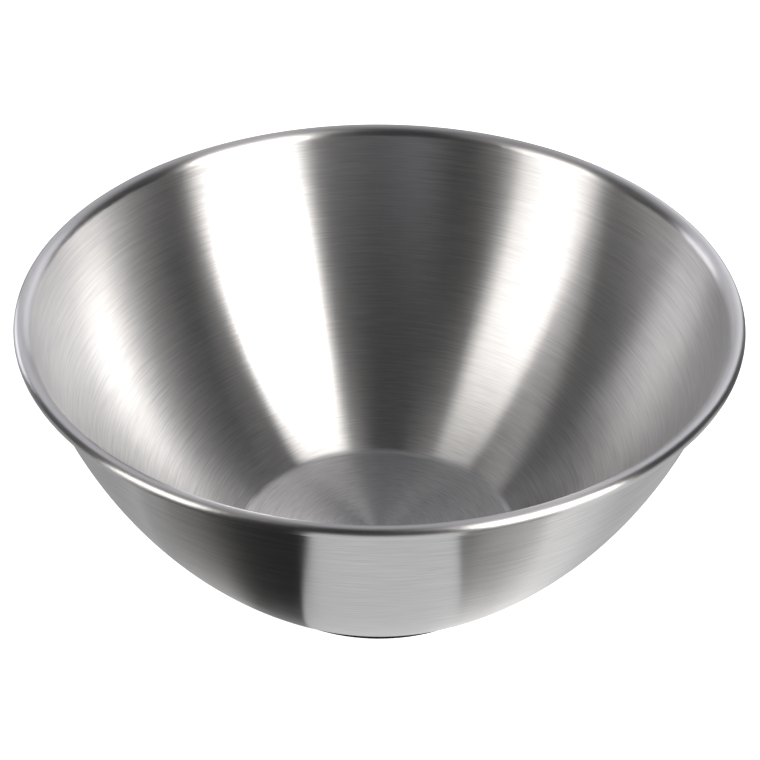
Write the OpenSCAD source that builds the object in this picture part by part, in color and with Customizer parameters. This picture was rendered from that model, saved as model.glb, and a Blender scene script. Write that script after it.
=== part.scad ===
// Round mixing bowl, pressed and spun from one disc of stainless steel sheet.
// The flat base turns up through a small corner into one long curved wall. The wall turns
// outwards at the top into a narrow lip, and the edge of the sheet is rolled over and under
// into a bead. Everything is the same sheet, so the bowl is one piece.
// Lengths are in millimetres. The origin is the centre of the base's underside, and +Z is up.

/* [Bowl] */
// Diameter over the rolled rim.
rim_d = 300; // [260:1:340]
// Height from the surface it stands on to the top of the rim.
bowl_h = 130; // [110:1:150]
// Diameter of the flat part of the base.
base_d = 120; // [90:1:140]
// Thickness of the sheet.
sheet_t = 0.8; // [0.6:0.1:1.0]

/* [Wall] */
// Slope of the wall just under the lip, measured up from level.
wall_top_deg = 78; // [72:0.1:84]
// Inside radius of the corner between the base and the wall.
corner_r = 7; // [4:0.5:14]

/* [Rim] */
// Radius of the lip's upper surface where it turns outwards.
lip_r = 5; // [4:0.5:10]
// Outside radius of the rolled bead.
bead_r = 2.4; // [1.5:0.1:2.5]
// How far the bead is rolled, counted from its top. Its cut edge is tucked up under the lip.
bead_sweep_deg = 270; // [180:5:280]

/* [Hidden] */
steel_colour = [0.72, 0.72, 0.73];
// Straight sides used in place of each full circle on screen.
$fn = 240;
// Corners on the far side of a cutting wedge, and how far out they are against the ring.
wedge_steps = 5;
wedge_reach = 2;
// Each strip runs this far into its neighbour, so that they join into one sheet.
lap = 0.05;

// Radius of the flat part of the base, and the centre of the corner above its edge.
base_r = base_d / 2;
corner_c = [base_r, sheet_t + corner_r];

// The bead and the lip have their centres one above the other, under the rim's highest line.
crest_x = rim_d / 2 - bead_r;
bead_c = [crest_x, bowl_h - bead_r];
lip_c = [crest_x, bowl_h - lip_r];

// Where the wall's inner face runs into the lip, and the direction from there to its centre.
wall_end = around(lip_c, lip_r, 90 + wall_top_deg);
wall_in = [-sin(wall_top_deg), cos(wall_top_deg)];

// The one arc that leaves the lip at wall_end and runs smoothly into the corner.
wall_gap = corner_c - wall_end;
wall_r = (wall_gap * wall_gap - corner_r * corner_r) / (2 * (wall_gap * wall_in - corner_r));
wall_c = wall_end + wall_r * wall_in;

// Slope of the wall where it leaves the corner, measured up from level.
wall_foot_deg = atan2(corner_c.x - wall_c.x, wall_c.y - corner_c.y);

function around(centre, radius, deg) = centre + radius * [cos(deg), sin(deg)];

// A bent strip of sheet in section: the part of a flat ring from one angle round to another.
module strip(centre, inner, outer, from, to) {
    lap_deg = lap / outer * 180 / PI;
    start = from - lap_deg;
    step = (to - from + 2 * lap_deg) / wedge_steps;
    fan = [for (i = [0:wedge_steps]) around(centre, outer * wedge_reach, start + i * step)];
    intersection() {
        translate(centre)
            difference() {
                circle(r = outer);
                circle(r = inner);
            }
        polygon(concat([centre], fan));
    }
}

// The sheet in section, from the middle of the base out to the cut edge inside the bead.
module section() {
    square([base_r, sheet_t]);
    strip(corner_c, corner_r, corner_r + sheet_t, -90, wall_foot_deg - 90);
    strip(wall_c, wall_r, wall_r + sheet_t, wall_foot_deg - 90, wall_top_deg - 90);
    strip(lip_c, lip_r - sheet_t, lip_r, 90, 90 + wall_top_deg);
    strip(bead_c, bead_r - sheet_t, bead_r, 90 - bead_sweep_deg, 90);
}

module bowl() {
    color(steel_colour)
        rotate_extrude()
            section();
}

bowl();
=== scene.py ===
"""Looks of a brushed stainless steel mixing bowl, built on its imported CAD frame.

The bowl is one sheet of steel, so it is shown as one lathed mesh with the same sections as the
CAD solid: base, corner, wall, lip and rolled bead, inside and outside. All lengths are in metres.
"""

import math

import bpy
import numpy as np
from mathutils import Matrix, Vector


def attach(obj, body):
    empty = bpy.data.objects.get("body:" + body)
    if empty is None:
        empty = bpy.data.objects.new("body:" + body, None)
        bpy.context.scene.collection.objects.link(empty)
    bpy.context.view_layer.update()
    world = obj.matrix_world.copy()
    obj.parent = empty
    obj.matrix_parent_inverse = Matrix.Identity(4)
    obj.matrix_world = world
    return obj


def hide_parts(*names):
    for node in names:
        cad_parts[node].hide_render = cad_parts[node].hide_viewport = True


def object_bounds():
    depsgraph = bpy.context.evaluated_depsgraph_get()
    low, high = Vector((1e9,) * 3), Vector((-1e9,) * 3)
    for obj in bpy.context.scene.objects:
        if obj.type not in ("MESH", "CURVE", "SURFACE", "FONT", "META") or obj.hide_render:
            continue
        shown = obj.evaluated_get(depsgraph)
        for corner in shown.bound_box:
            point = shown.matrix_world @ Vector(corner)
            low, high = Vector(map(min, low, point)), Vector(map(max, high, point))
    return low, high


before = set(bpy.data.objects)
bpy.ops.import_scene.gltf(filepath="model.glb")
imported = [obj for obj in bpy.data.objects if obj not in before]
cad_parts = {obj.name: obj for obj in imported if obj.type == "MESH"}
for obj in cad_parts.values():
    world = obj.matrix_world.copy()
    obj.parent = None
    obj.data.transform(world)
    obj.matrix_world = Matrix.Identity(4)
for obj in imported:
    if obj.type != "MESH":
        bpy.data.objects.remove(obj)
cad_lo, cad_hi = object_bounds()

# --- The bowl's section, as in the CAD model ---
SHEET = 0.0008
BASE_R = 0.060
CORNER_R = 0.007
LIP_R = 0.005
BEAD_R = 0.0024
WALL_TOP = math.radians(78)
BEAD_SWEEP = math.radians(270)
HEIGHT = cad_hi.z
# The CAD mesh's flats stop just short of the true circle, and the lathe stays inside them.
RIM_R = min(cad_hi.x, cad_hi.y, -cad_lo.x, -cad_lo.y)

# How finely each stretch of the section is divided, and the turn round the axis.
BASE_STEPS = 8
UNDERSIDE_STEPS = 4
CORNER_STEPS = 10
WALL_STEPS = 36
LIP_STEPS = 18
LIP_UNDER_STEPS = 16
BEAD_STEPS = 30
BEAD_INSIDE_STEPS = 20
TURN_STEPS = 448


def polar(centre, radius, angle):
    return np.array(centre) + radius * np.array([math.cos(angle), math.sin(angle)])


def arc(centre, radius, start, end, steps):
    """Points along an arc, without its first one."""
    turn = (end - start) / steps
    return [polar(centre, radius, start + turn * (i + 1)) for i in range(steps)]


def section():
    """The closed outline of the sheet, from the middle of the base's upper face round to the
    middle of its underside."""
    quarter = math.pi / 2
    corner_c = np.array([BASE_R, SHEET + CORNER_R])
    crest = RIM_R - BEAD_R
    bead_c = np.array([crest, HEIGHT - BEAD_R])
    lip_c = np.array([crest, HEIGHT - LIP_R])
    wall_end = polar(lip_c, LIP_R, quarter + WALL_TOP)
    wall_in = np.array([-math.sin(WALL_TOP), math.cos(WALL_TOP)])
    gap = corner_c - wall_end
    wall_r = (gap @ gap - CORNER_R**2) / (2 * (gap @ wall_in - CORNER_R))
    wall_c = wall_end + wall_r * wall_in
    foot = math.atan2(corner_c[0] - wall_c[0], wall_c[1] - corner_c[1])

    points = [np.array([BASE_R * i / BASE_STEPS, SHEET]) for i in range(BASE_STEPS + 1)]
    points += arc(corner_c, CORNER_R, -quarter, foot - quarter, CORNER_STEPS)
    points += arc(wall_c, wall_r, foot - quarter, WALL_TOP - quarter, WALL_STEPS)
    points += arc(lip_c, LIP_R, quarter + WALL_TOP, quarter, LIP_STEPS)
    points += arc(bead_c, BEAD_R, quarter, quarter - BEAD_SWEEP, BEAD_STEPS)
    points += [polar(bead_c, BEAD_R - SHEET, quarter - BEAD_SWEEP)]
    points += arc(bead_c, BEAD_R - SHEET, quarter - BEAD_SWEEP, quarter, BEAD_INSIDE_STEPS)
    points += arc(lip_c, LIP_R - SHEET, quarter, quarter + WALL_TOP, LIP_UNDER_STEPS)
    points += arc(wall_c, wall_r + SHEET, WALL_TOP - quarter, foot - quarter, WALL_STEPS)
    points += arc(corner_c, CORNER_R + SHEET, foot - quarter, -quarter, CORNER_STEPS)
    for i in reversed(range(UNDERSIDE_STEPS)):
        points.append(np.array([BASE_R * i / UNDERSIDE_STEPS, 0.0]))
    return np.array(points)


def lathe(name, outline, steps):
    """A closed mesh of revolution about Z. The outline starts and ends on the axis."""
    rings = outline[1:-1]
    angles = np.arange(steps) * 2 * math.pi / steps
    ring = np.stack([np.cos(angles), np.sin(angles)], axis=1)
    verts = [np.array([[0.0, 0.0, outline[0][1]]])]
    for radius, z in rings:
        verts.append(np.column_stack([ring * radius, np.full(steps, z)]))
    verts.append(np.array([[0.0, 0.0, outline[-1][1]]]))
    verts = np.concatenate(verts)
    faces = []
    for k in range(steps):
        nxt = (k + 1) % steps
        faces.append((0, 1 + k, 1 + nxt))
    for j in range(len(rings) - 1):
        low, high = 1 + j * steps, 1 + (j + 1) * steps
        for k in range(steps):
            nxt = (k + 1) % steps
            faces.append((low + k, high + k, high + nxt, low + nxt))
    last, tip = 1 + (len(rings) - 1) * steps, len(verts) - 1
    for k in range(steps):
        nxt = (k + 1) % steps
        faces.append((tip, last + nxt, last + k))
    mesh = bpy.data.meshes.new(name)
    mesh.from_pydata(verts.tolist(), [], faces)
    mesh.validate()
    mesh.shade_smooth()
    mesh.update()
    obj = bpy.data.objects.new(name, mesh)
    bpy.context.scene.collection.objects.link(obj)
    return obj


# --- Brushed steel ---
class Nodes:
    """Short calls for building a material's node tree."""

    def __init__(self, material):
        material.use_nodes = True
        self.tree = material.node_tree
        self.tree.nodes.clear()

    def add(self, kind, **settings):
        node = self.tree.nodes.new(kind)
        for key, value in settings.items():
            setattr(node, key, value)
        return node

    def put(self, value, socket):
        if isinstance(value, bpy.types.NodeSocket):
            self.tree.links.new(value, socket)
        else:
            socket.default_value = value

    def math(self, operation, a, b=0.0):
        node = self.add("ShaderNodeMath", operation=operation)
        self.put(a, node.inputs[0])
        self.put(b, node.inputs[1])
        return node.outputs[0]

    def vector(self, x, y, z):
        node = self.add("ShaderNodeCombineXYZ")
        for value, socket in zip((x, y, z), node.inputs):
            self.put(value, socket)
        return node.outputs[0]

    def noise(self, vector, detail):
        node = self.add("ShaderNodeTexNoise")
        self.put(vector, node.inputs["Vector"])
        node.inputs["Scale"].default_value = 1.0
        node.inputs["Detail"].default_value = detail
        return node.outputs["Fac"]

    def remap(self, value, from_lo, from_hi, to_lo, to_hi):
        node = self.add("ShaderNodeMapRange")
        for item, socket in zip((value, from_lo, from_hi, to_lo, to_hi), node.inputs):
            self.put(item, socket)
        return node.outputs[0]


# Spreads are how far the brushing moves a value to either side.
STEEL_TONE = 0.63
TONE_SPREAD = 0.1
BLUE_SHARE = 1.01
ROUGH_SPREAD = 0.008
BROAD_SHARE = 0.3
HEIGHT_SHARE = 0.9
BUMP_STRENGTH = 0.38
BUMP_DEPTH = 0.00008
# Closer to the axis than this, the direction round it fades out instead of dividing by zero.
AXIS_GAP = 0.0005
# A quarter turn lays the highlight across the brushing.
ACROSS_GRAIN = 0.25


def brushed_steel(name, grain_share, anisotropy, base_roughness):
    """Steel brushed round the axis. A grain_share below 1 is fainter brushing."""
    material = bpy.data.materials.new(name)
    n = Nodes(material)
    place = n.add("ShaderNodeTexCoord").outputs["Object"]
    split = n.add("ShaderNodeSeparateXYZ")
    n.put(place, split.inputs[0])
    x, y, z = split.outputs
    radius = n.math("SQRT", n.math("ADD", n.math("MULTIPLY", x, x), n.math("MULTIPLY", y, y)))
    inv = n.math("DIVIDE", 1.0, n.math("MAXIMUM", radius, AXIS_GAP))
    cos_t, sin_t = n.math("MULTIPLY", x, inv), n.math("MULTIPLY", y, inv)
    # Distance along the section: mostly radius on the base, mostly height up the wall.
    along = n.math("ADD", radius, n.math("MULTIPLY", z, HEIGHT_SHARE))

    def grain(turns, per_metre, shift, detail=2.0):
        """Noise drawn out round the axis: features about 1/turns of a radian long and
        1/per_metre wide."""
        return n.noise(
            n.vector(
                n.math("ADD", n.math("MULTIPLY", cos_t, turns), shift),
                n.math("MULTIPLY", sin_t, turns),
                n.math("MULTIPLY", along, per_metre),
            ),
            detail,
        )

    hair = grain(8.0, 2200.0, 3.1, detail=1.0)
    fine = grain(4.0, 1000.0, 17.7)
    broad = grain(1.6, 60.0, 41.3)
    lines = n.math("ADD", n.math("MULTIPLY", hair, 0.5), n.math("MULTIPLY", fine, 0.5))

    spread = ROUGH_SPREAD * grain_share
    rough = n.math(
        "ADD",
        n.remap(lines, 0.35, 0.65, base_roughness - spread, base_roughness + spread),
        n.remap(broad, 0.3, 0.7, -BROAD_SHARE * spread, BROAD_SHARE * spread),
    )

    tone_spread = TONE_SPREAD * grain_share
    tone = n.remap(lines, 0.3, 0.7, STEEL_TONE - tone_spread, STEEL_TONE + tone_spread)
    colour = n.add("ShaderNodeCombineColor")
    n.put(tone, colour.inputs[0])
    n.put(tone, colour.inputs[1])
    n.put(n.math("MULTIPLY", tone, BLUE_SHARE), colour.inputs[2])

    bump = n.add("ShaderNodeBump")
    bump.inputs["Strength"].default_value = BUMP_STRENGTH * grain_share
    bump.inputs["Distance"].default_value = BUMP_DEPTH
    n.put(lines, bump.inputs["Height"])

    shader = n.add("ShaderNodeBsdfPrincipled")
    shader.inputs["Metallic"].default_value = 1.0
    shader.inputs["Anisotropic"].default_value = anisotropy
    shader.inputs["Anisotropic Rotation"].default_value = ACROSS_GRAIN
    n.put(colour.outputs[0], shader.inputs["Base Color"])
    n.put(rough, shader.inputs["Roughness"])
    n.put(bump.outputs[0], shader.inputs["Normal"])
    tangent = n.add("ShaderNodeTangent", direction_type="RADIAL", axis="Z")
    n.put(tangent.outputs[0], shader.inputs["Tangent"])
    n.put(shader.outputs[0], n.add("ShaderNodeOutputMaterial").inputs["Surface"])
    return material


# The satin rim reaches this far below the top of the lip.
SATIN_DEPTH = LIP_R * 0.8

bowl = lathe("bowl_steel", section(), TURN_STEPS)
body_steel = brushed_steel("bowl_brushed", grain_share=1.0, anisotropy=1.0, base_roughness=0.29)
rim_steel = brushed_steel("rim_satin", grain_share=0.4, anisotropy=0.94, base_roughness=0.3)
bowl.data.materials.append(body_steel)
bowl.data.materials.append(rim_steel)
rim_faces = np.zeros(len(bowl.data.polygons), np.int32)
centres = np.zeros(len(bowl.data.polygons) * 3)
bowl.data.polygons.foreach_get("center", centres)
rim_faces[centres.reshape(-1, 3)[:, 2] > HEIGHT - SATIN_DEPTH] = 1
bowl.data.polygons.foreach_set("material_index", rim_faces)
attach(bowl, "root")
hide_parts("bowl")

# --- Floor ---
FLOOR_HALF = 4.0
# The floor lies just under the base's underside, so that the two don't share a plane, and the
# cards lie just under the floor.
FLOOR_Z = -0.0001
CARD_Z = -0.0003
FLOOR_TONE = 0.8
FLOOR_GLOW = 1.0
MATT = 0.9


def plain(name, corners, tone, glow):
    """A flat polygon of the studio in a plain matt tone. Glow 1 shows as white."""
    mesh = bpy.data.meshes.new(name)
    mesh.from_pydata(corners, [], [tuple(range(len(corners)))])
    obj = bpy.data.objects.new(name, mesh)
    bpy.context.scene.collection.objects.link(obj)
    material = bpy.data.materials.new(name)
    material.use_nodes = True
    paint = material.node_tree.nodes["Principled BSDF"]
    paint.inputs["Base Color"].default_value = (tone, tone, tone, 1)
    paint.inputs["Roughness"].default_value = MATT
    paint.inputs["Specular IOR Level"].default_value = 0.0
    paint.inputs["Emission Color"].default_value = (1, 1, 1, 1)
    paint.inputs["Emission Strength"].default_value = glow
    mesh.materials.append(material)
    return obj


signs = [(-1, -1), (1, -1), (1, 1), (-1, 1)]
square = [(FLOOR_HALF * sx, FLOOR_HALF * sy, FLOOR_Z) for sx, sy in signs]
floor = plain("floor", square, FLOOR_TONE, FLOOR_GLOW)
floor.visible_glossy = False


def reflection_card(name, start, end, near, far, brightness):
    """A glowing sheet that paints a part of the table top as the steel reflects it: a flat sector
    between two edges, from one ring to another round the bowl. Its glow is a painted reflection,
    lighter or darker by sector. It casts no shadow and isn't seen itself."""

    def edge_points(edge):
        return [at_edge(edge, r) for r in CARD_RINGS if near <= r <= far]

    def at_edge(edge, r):
        bend = min(1.0, max(0.0, (r - NEAR) / (BENT - NEAR)))
        return r, edge[0] + (edge[1] - edge[0]) * bend

    def across(r):
        """Points between the two edges on one ring."""
        first, last = at_edge(start, r)[1], at_edge(end, r)[1]
        steps = max(2, round((last - first) / CARD_STEP))
        return [(r, first + (last - first) * i / steps) for i in range(1, steps)]

    outline = edge_points(start) + across(far) + edge_points(end)[::-1] + across(near)[::-1]
    turns = [(r, math.radians(angle)) for r, angle in outline]
    corners = [(r * math.cos(turn), r * math.sin(turn), CARD_Z) for r, turn in turns]
    obj = plain(name, corners, 0.0, brightness)
    obj.visible_camera = False
    obj.visible_diffuse = False
    obj.visible_shadow = False


# The cards start and end on these rings round the bowl, and their sides have a point on each.
CARD_RINGS = [0.068, 0.098, 0.13, 0.206, 1.6]
NEAR, CLOSE, MIDDLE, BENT, FAR = CARD_RINGS
# A card's curved sides have a point about every this many degrees.
CARD_STEP = 6
# Each edge turns from one direction in degrees at NEAR to another at BENT, and then runs straight.
FRONT_LEFT, FRONT_RIGHT, DARK_LEFT = (246, 254), (295, 289), (238, 214)
FRONT_SIDE = (292, 312)
# Each card's glow is a painted reflection of the table top: a lighter or darker sector in the
# steel.
REFLECTION_CARDS = [
    ("card_front", FRONT_LEFT, FRONT_RIGHT, NEAR, FAR, 0.84),
    ("card_front_right_near", FRONT_RIGHT, (335, 335), NEAR, MIDDLE, 0.80),
    ("card_front_edge", FRONT_RIGHT, FRONT_SIDE, MIDDLE, FAR, 0.14),
    ("card_front_right", FRONT_SIDE, (335, 335), MIDDLE, FAR, 0.76),
    ("card_right", (335, 335), (372, 372), NEAR, FAR, 0.7),
    ("card_right_back", (12, 12), (50, 50), NEAR, FAR, 0.2),
    ("card_back", (50, 50), (135, 135), NEAR, FAR, 0.45),
    ("card_left_back", (135, 135), (172, 172), NEAR, FAR, 0.35),
    ("card_left", (172, 172), (205, 205), NEAR, FAR, 0.5),
    ("card_left_front_near", (205, 205), DARK_LEFT, NEAR, MIDDLE, 0.42),
    ("card_left_front", (205, 205), DARK_LEFT, MIDDLE, FAR, 0.25),
    ("card_dark_near", DARK_LEFT, FRONT_LEFT, NEAR, CLOSE, 0.5),
    ("card_dark", DARK_LEFT, FRONT_LEFT, CLOSE, FAR, 0.03),
]
for row in REFLECTION_CARDS:
    reflection_card(*row)

# A dark ring painted on the floor as the shadow in the gap under the bowl's rounded corner, where
# the glow of the floor would light it.
GAP_OUTER = 0.0661
GAP_INNER = 0.061
GAP_Z = 0.00005
CONTACT_SHADOW_TONE = 0.03
GAP_STEP = 3
gap_turns = [math.radians(i * GAP_STEP) for i in range(360 // GAP_STEP + 1)]
gap_ring = [(GAP_OUTER * math.cos(a), GAP_OUTER * math.sin(a), GAP_Z) for a in gap_turns]
gap_ring += [(GAP_INNER * math.cos(a), GAP_INNER * math.sin(a), GAP_Z) for a in reversed(gap_turns)]
contact = plain("contact_shadow", gap_ring, CONTACT_SHADOW_TONE, 0.0)
contact.visible_glossy = False

# --- Camera ---
CAM_DISTANCE = 0.850
CAM_TILT = math.radians(35.93)
CAM_ROLL = math.radians(0.305)
CAM_TARGET = Vector((0.0003, 0.0, 0.0879))
CAM_SENSOR_MM = 36.0
CAM_LENS_MM = 94.6
CAM_CLIP = 0.01
camera_data = bpy.data.cameras.new("camera")
camera_data.sensor_width = CAM_SENSOR_MM
camera_data.lens = CAM_LENS_MM
camera_data.clip_start = CAM_CLIP
camera = bpy.data.objects.new("camera", camera_data)
bpy.context.scene.collection.objects.link(camera)
ahead = Vector((0.0, math.cos(CAM_TILT), -math.sin(CAM_TILT)))
camera.location = CAM_TARGET - ahead * CAM_DISTANCE
level = ahead.to_track_quat("-Z", "Y").to_matrix()
camera.rotation_euler = (level @ Matrix.Rotation(CAM_ROLL, 3, "Z")).to_euler()
bpy.context.scene.camera = camera

# --- Light ---
WORLD_GLOW = 0.035
BOX_DISTANCE = 1.6

world = bpy.data.worlds.new("studio")
world.use_nodes = True
world.node_tree.nodes["Background"].inputs["Color"].default_value = (1, 1, 1, 1)
world.node_tree.nodes["Background"].inputs["Strength"].default_value = WORLD_GLOW
bpy.context.scene.world = world


def softbox(name, left, right, low, high, brightness, tint):
    """A flat light that faces the bowl and fills these directions from it: left to right in
    degrees anticlockwise from +X, low to high in degrees above level. Brightness 1 shows as
    white."""
    azimuth, elevation = math.radians((left + right) / 2), math.radians((low + high) / 2)
    data = bpy.data.lights.new(name, "AREA")
    data.shape = "RECTANGLE"
    data.size = 2 * BOX_DISTANCE * math.tan(math.radians(right - left) / 2) * math.cos(elevation)
    data.size_y = 2 * BOX_DISTANCE * math.tan(math.radians(high - low) / 2)
    data.energy = brightness * math.pi * data.size * data.size_y
    data.color = tint
    light = bpy.data.objects.new(name, data)
    flat = Vector((math.cos(azimuth), math.sin(azimuth), 0.0))
    out = flat * math.cos(elevation) + Vector((0, 0, math.sin(elevation)))
    light.location = out * BOX_DISTANCE
    light.rotation_euler = (-out).to_track_quat("-Z", "Y").to_euler()
    light.visible_camera = False
    bpy.context.scene.collection.objects.link(light)


WARM = (1.0, 0.965, 0.925)
LILAC = (1.0, 0.985, 1.03)
SOFTBOXES = [
    ("box_right", 298, 339, 25, 42, 11.8, WARM),
    ("box_right_upper", 298, 339, 42, 56, 3.0, WARM),
    ("box_right_top", 298, 339, 56, 80, 1.0, WARM),
    ("box_right_lower", 298, 339, 4, 25, 2.2, WARM),
    ("box_left", 191, 221, 20, 44, 3.8, WARM),
    ("box_left_top", 191, 221, 44, 76, 0.5, WARM),
    ("box_left_low", 191, 221, 4, 20, 1.8, WARM),
    ("side_left", 152, 191, 24, 46, 0.08, WARM),
    ("back_right", 48, 78, 4, 45, 1.05, LILAC),
    ("back_middle", 78, 106, 4, 45, 0.58, LILAC),
    ("back_left", 106, 130, 4, 45, 0.6, LILAC),
    ("back_far_left", 130, 152, 4, 30, 1.8, LILAC),
    ("back_top", 50, 130, 45, 62, 0.5, LILAC),
    ("back_high", 40, 140, 62, 82, 0.25, LILAC),
]
for row in SOFTBOXES:
    softbox(*row)

bpy.context.scene.view_settings.view_transform = "Standard"
